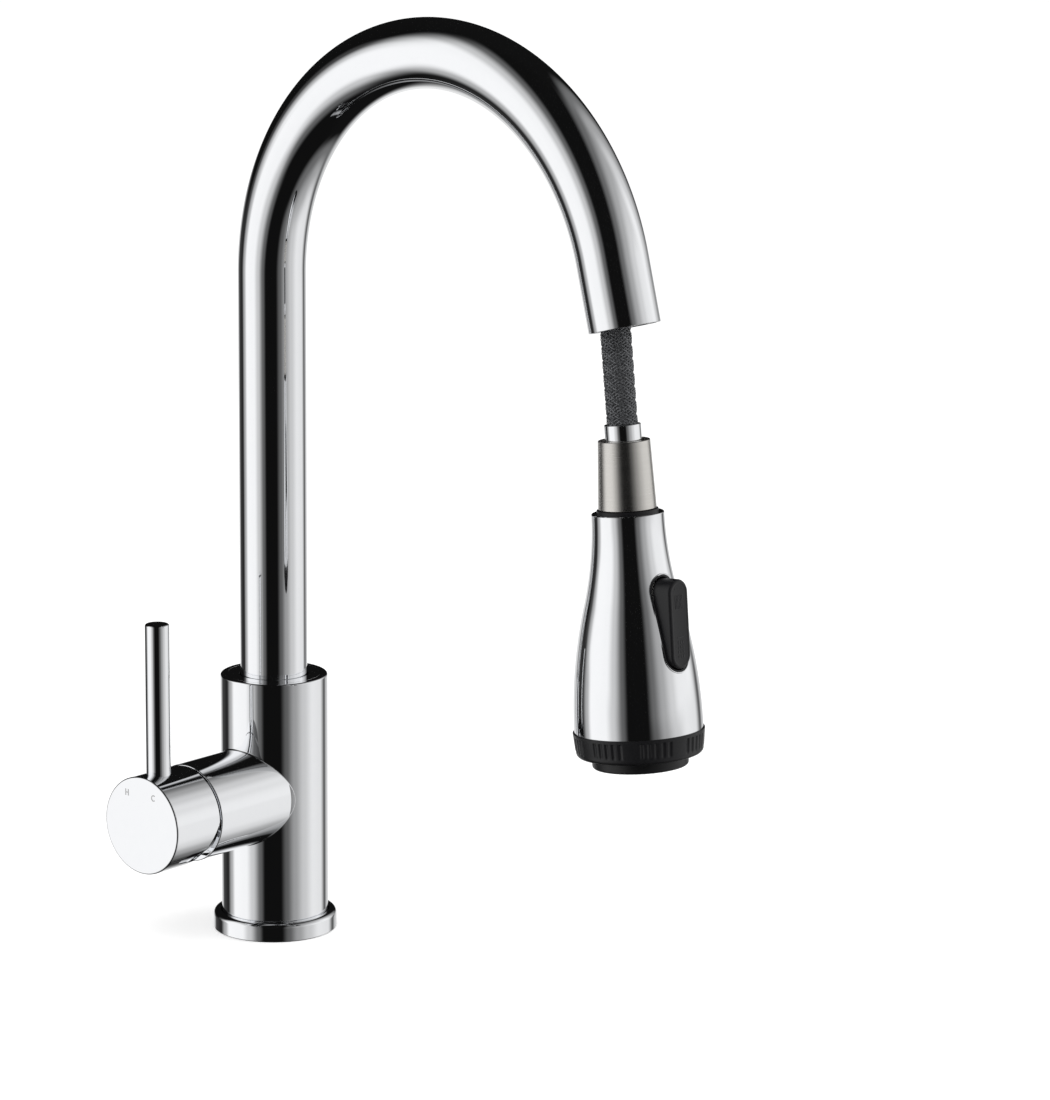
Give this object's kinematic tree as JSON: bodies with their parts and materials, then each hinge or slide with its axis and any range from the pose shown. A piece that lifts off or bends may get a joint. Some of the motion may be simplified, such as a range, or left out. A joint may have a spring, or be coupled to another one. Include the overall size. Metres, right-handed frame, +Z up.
{
  "type": "pull-down kitchen faucet",
  "caption": "High-arc kitchen faucet with a swivelling spout, side lever valve and a pull-down spray head on a braided hose, with a rocker that changes the spray.",
  "frame": {"origin": "centre of the deck hole, on the deck's top face", "axes": "+Z up along the riser; the spout reaches towards -Y; the side handle points to -X, turned 5 degrees towards -Y"},
  "size_m": [0.1098, 0.2608, 0.4475],
  "materials": {
    "chrome": "polished",
    "brushed_nickel": "satin brushed",
    "brass": "machined",
    "steel": "plain",
    "rubber": "matt",
    "inner_plastic": "moulded",
    "ceramic": "lapped",
    "black_plastic": "satin",
    "grey_silicone": "matt",
    "hose_braid": "braided"
  },
  "bodies": {
    "deck_body": {"base_gasket": "rubber", "base_ring": "chrome", "faucet_body": "chrome", "mounting_shank": "brass", "deck_washer_rubber": "rubber", "deck_washer_steel": "steel", "mounting_nut": "brass", "gland_ring": "chrome", "swivel_washer": "inner_plastic", "cartridge_seal": "rubber", "cartridge_base": "inner_plastic", "fixed_disc": "ceramic", "cartridge_housing": "inner_plastic", "retaining_nut": "brass", "bonnet": "chrome"},
    "turret": {"turret": "inner_plastic", "pivot_pin": "steel"},
    "handle": {"handle_cap": "chrome", "lever_rod": "chrome", "stem": "brass", "set_screw": "steel"},
    "disc_slide": {"moving_disc": "ceramic", "disc_carrier": "inner_plastic"},
    "spout": {"spout_tube": "chrome", "spout_socket": "brass", "swivel_oring_lower": "rubber", "swivel_oring_upper": "rubber", "dock_bush": "inner_plastic", "hose_in_spout": "hose_braid"},
    "hose_run": {"hose_exposed": "hose_braid"},
    "hose_end": {"hose_ferrule": "chrome", "ball_nipple": "brass"},
    "ball_seat": {"ball_seat": "inner_plastic"},
    "spray_head": {"cone_sleeve": "brushed_nickel", "seat_nut": "brass", "waterway_tube": "inner_plastic", "bell_shell": "chrome", "rocker_bezel": "black_plastic", "rocker_pin": "steel", "diverter_block": "inner_plastic", "manifold": "inner_plastic", "nozzle_oring": "rubber", "serrated_ring": "black_plastic", "nozzle_face": "black_plastic", "spray_plate": "grey_silicone", "aerator_insert": "grey_silicone"},
    "rocker": {"rocker_button": "black_plastic"},
    "diverter": {"diverter_spool": "inner_plastic"}
  },
  "joints": [
    {"name": "spout_swivel", "type": "hinge", "parent": "deck_body", "child": "spout", "pos_m": [0, 0, 0.095], "axis": [0, 0, 1], "continuous": true},
    {"name": "handle_turn", "type": "hinge", "parent": "deck_body", "child": "turret", "pos_m": [-0.04582, -0.00401, 0.0604], "axis": [-0.9962, -0.0872, 0], "range_deg": [-45, 45]},
    {"name": "handle_lift", "type": "hinge", "parent": "turret", "child": "handle", "pos_m": [-0.04582, -0.00401, 0.0604], "axis": [0.0872, -0.9962, 0], "range_deg": [0, 22]},
    {"name": "disc_slide", "type": "slide", "parent": "turret", "child": "disc_slide", "axis": [0, 0, 1], "range_m": [0, 0.00488]},
    {"name": "hose_swing", "type": "hinge", "parent": "spout", "child": "hose_run", "pos_m": [0, -0.18897, 0.31006], "axis": [1, 0, 0], "range_deg": [-8.6, 1.56]},
    {"name": "head_pull", "type": "slide", "parent": "hose_run", "child": "hose_end", "axis": [0, -0.1132, -0.9936], "range_m": [-0.07004, 0.012], "deforming": ["hose_exposed"]},
    {"name": "head_tilt", "type": "hinge", "parent": "hose_end", "child": "ball_seat", "pos_m": [0, -0.19832, 0.22797], "axis": [1, 0, 0], "range_deg": [-1.71, 0.38]},
    {"name": "head_spin", "type": "hinge", "parent": "ball_seat", "child": "spray_head", "pos_m": [0, -0.19832, 0.22797], "axis": [0, -0.0852, -0.9964], "continuous": true},
    {"name": "rocker_tilt", "type": "hinge", "parent": "spray_head", "child": "rocker", "pos_m": [0, -0.22076, 0.16746], "axis": [-1, 0, 0], "range_deg": [0, 10]},
    {"name": "diverter_slide", "type": "slide", "parent": "spray_head", "child": "diverter", "axis": [0, -0.0852, -0.9964], "range_m": [0, 0.00075]}
  ],
  "couplings": [
    {"joint": "handle_lift", "follows": "disc_slide", "rad_per_m": 78.74},
    {"joint": "hose_swing", "follows": "head_pull", "rad_per_m": 2.1182},
    {"joint": "head_tilt", "follows": "head_pull", "rad_per_m": 0.40121},
    {"joint": "rocker_tilt", "follows": "diverter_slide", "rad_per_m": 232.56}
  ]
}
